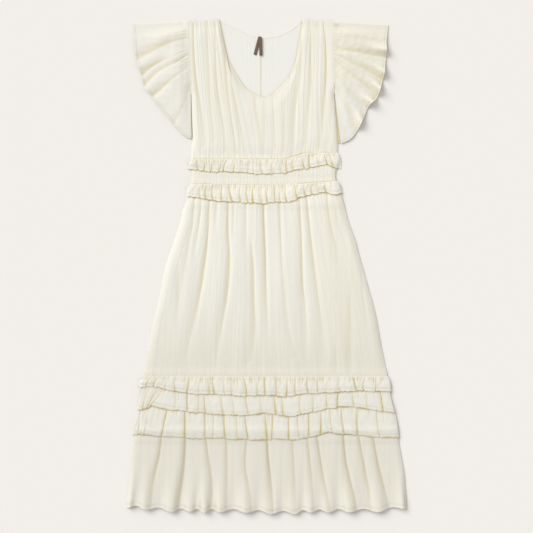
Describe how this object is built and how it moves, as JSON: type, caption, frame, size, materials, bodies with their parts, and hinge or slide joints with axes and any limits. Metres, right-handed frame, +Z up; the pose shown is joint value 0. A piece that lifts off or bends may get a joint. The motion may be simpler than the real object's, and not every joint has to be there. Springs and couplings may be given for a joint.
{
  "type": "herringbone dress",
  "caption": "Cream short-sleeved midi dress laid flat, with a V neck, a shirred waistband between two ruffles, three ruffle tiers and a hem flounce.",
  "frame": {"origin": "under the middle of the dress's outline, on the surface it lies on", "axes": "+Y from the hem to the shoulders, +X towards the side that is on the right when the dress is seen from above with its neck at the top, +Z up from the surface"},
  "size_m": [0.688, 1.21, 0.0177],
  "materials": {
    "cloth": "matt, softly crinkled woven cloth in warm cream",
    "ribbon": "brown woven ribbon with a slight sheen"
  },
  "bodies": {
    "root": {"front_bodice": "cloth", "back_bodice_left": "cloth", "back_bodice_right": "cloth", "sleeve_left": "cloth", "sleeve_right": "cloth", "waist_ruffle_upper_front": "cloth", "waist_ruffle_upper_back": "cloth", "waistband_front": "cloth", "waistband_back": "cloth", "waist_ruffle_lower_front": "cloth", "waist_ruffle_lower_back": "cloth", "skirt_front": "cloth", "skirt_back": "cloth", "tier_ruffle_top_front": "cloth", "tier_ruffle_top_back": "cloth", "tier_ruffle_middle_front": "cloth", "tier_ruffle_middle_back": "cloth", "tier_ruffle_bottom_front": "cloth", "tier_ruffle_bottom_back": "cloth", "flounce_front": "cloth", "flounce_back": "cloth", "neck_ribbon": "ribbon"}
  },
  "joints": []
}
